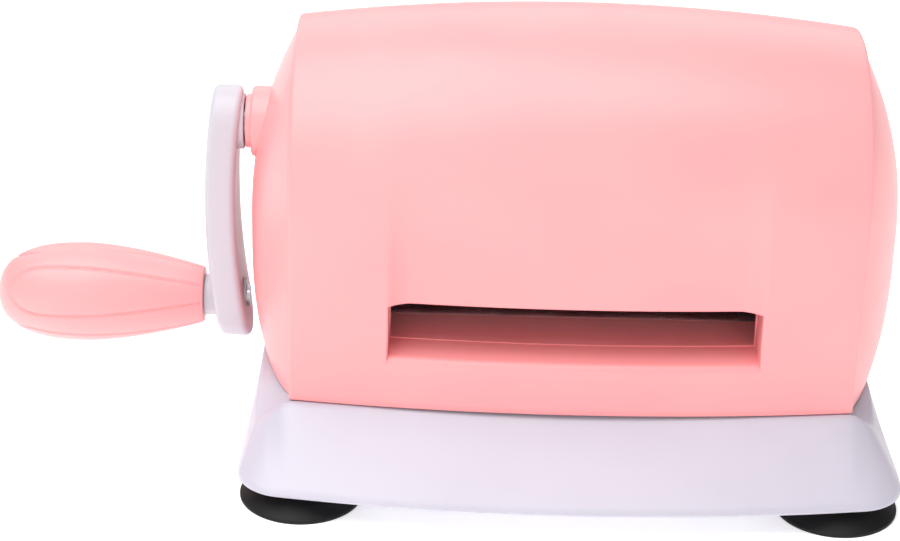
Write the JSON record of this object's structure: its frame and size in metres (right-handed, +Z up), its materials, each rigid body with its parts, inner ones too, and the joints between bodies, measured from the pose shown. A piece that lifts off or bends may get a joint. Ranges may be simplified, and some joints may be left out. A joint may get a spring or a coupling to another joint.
{
  "type": "hand-cranked die cutting machine",
  "caption": "Desktop craft die cutter: an arched plastic housing on a plinth with suction feet, a through feed slot between geared rollers, and a side crank.",
  "frame": {"origin": "on the table under the middle of the whole machine's footprint, crank handle included", "axes": "+X along the rollers away from the crank, +Y from the front slot to the rear slot, +Z up"},
  "size_m": [0.207, 0.1164, 0.1012],
  "materials": {
    "pink_shell": "smooth semi-gloss moulded plastic",
    "lavender_shell": "smooth semi-gloss moulded plastic",
    "foot_rubber": "smooth soft rubber",
    "frame_steel": "zinc-plated sheet steel",
    "roller_steel": "ground steel",
    "rod_steel": "turned steel bar",
    "fastener_steel": "zinc-plated steel",
    "bush_nylon": "natural nylon",
    "gear_nylon": "natural nylon",
    "pinion_steel": "sintered steel"
  },
  "bodies": {
    "machine": {"base_shell": "lavender_shell", "base_plate": "lavender_shell", "base_plate_screws": "fastener_steel", "front_left_foot": "foot_rubber", "front_right_foot": "foot_rubber", "rear_left_foot": "foot_rubber", "rear_right_foot": "foot_rubber", "left_frame": "frame_steel", "right_frame": "frame_steel", "frame_screws": "fastener_steel", "upper_front_tie_rod": "rod_steel", "upper_rear_tie_rod": "rod_steel", "lower_front_tie_rod": "rod_steel", "lower_rear_tie_rod": "rod_steel", "tie_rod_screws": "fastener_steel", "upper_left_bush": "bush_nylon", "upper_right_bush": "bush_nylon", "lower_left_bush": "bush_nylon", "lower_right_bush": "bush_nylon", "front_feed_platform": "pink_shell", "rear_feed_platform": "pink_shell", "housing_shell": "pink_shell", "housing_screws": "fastener_steel", "left_side_cover": "pink_shell", "right_side_cover": "pink_shell", "side_cover_screws": "fastener_steel", "frame_shaft_bush": "bush_nylon", "boss_shaft_bush": "bush_nylon"},
    "upper_roller_set": {"upper_roller": "roller_steel", "drive_gear": "gear_nylon", "upper_sync_gear": "gear_nylon", "upper_roller_circlips": "fastener_steel"},
    "lower_roller_set": {"lower_roller": "roller_steel", "lower_sync_gear": "gear_nylon", "lower_roller_circlips": "fastener_steel"},
    "crank": {"crank_shaft": "roller_steel", "drive_pinion": "pinion_steel", "crank_shaft_circlips": "fastener_steel", "crank_arm": "lavender_shell", "hub_washer": "fastener_steel", "hub_screw": "fastener_steel", "grip_pin": "roller_steel", "grip_pin_nut": "fastener_steel"},
    "grip": {"grip": "pink_shell", "grip_bush": "bush_nylon"}
  },
  "joints": [
    {"name": "crank_spin", "type": "hinge", "parent": "machine", "child": "crank", "pos_m": [-0.04962, 0, 0.0731], "axis": [1, 0, 0], "continuous": true},
    {"name": "upper_roller_spin", "type": "hinge", "parent": "machine", "child": "upper_roller_set", "pos_m": [0.02948, 0, 0.0515], "axis": [1, 0, 0], "continuous": true},
    {"name": "lower_roller_spin", "type": "hinge", "parent": "machine", "child": "lower_roller_set", "pos_m": [0.02948, 0, 0.024], "axis": [1, 0, 0], "continuous": true},
    {"name": "grip_spin", "type": "hinge", "parent": "crank", "child": "grip", "pos_m": [-0.07852, 0, 0.029], "axis": [1, 0, 0], "continuous": true}
  ],
  "couplings": [
    {"joint": "upper_roller_spin", "follows": "crank_spin", "ratio": -0.4},
    {"joint": "lower_roller_spin", "follows": "crank_spin", "ratio": 0.4}
  ]
}
